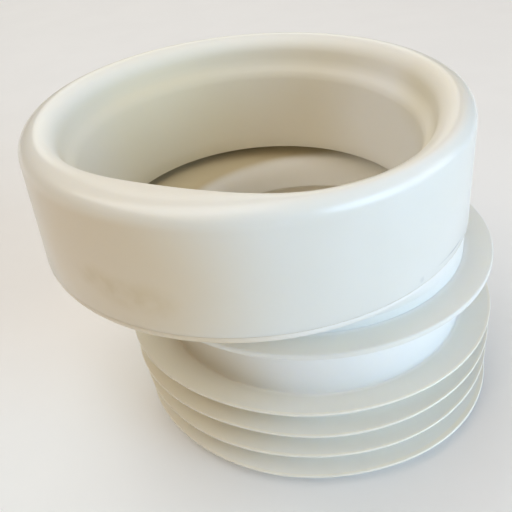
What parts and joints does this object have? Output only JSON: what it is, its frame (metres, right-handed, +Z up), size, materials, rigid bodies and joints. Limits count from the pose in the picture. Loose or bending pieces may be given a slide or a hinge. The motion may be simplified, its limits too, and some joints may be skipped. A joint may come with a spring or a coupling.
{
  "type": "toilet pan connector",
  "caption": "Offset push-fit connector from a toilet pan to a soil pipe: a round drum with a soft lipped inlet seal, beside the axis of an outlet spigot with a soft finned seal.",
  "frame": {"origin": "centre of the outlet spigot's end, on the outlet axis", "axes": "+Z up the outlet axis towards the inlet; the inlet axis is parallel to it, 17 mm away along -X"},
  "size_m": [0.1424, 0.132, 0.103],
  "materials": {
    "rigid_white": "satin moulded polypropylene",
    "soft_white": "satin soft moulded plastic",
    "soft_milky": "satin milky soft moulded plastic"
  },
  "bodies": {
    "root": {"body": "rigid_white", "inlet_seal": "soft_white", "outlet_seal": "soft_milky"}
  },
  "joints": []
}
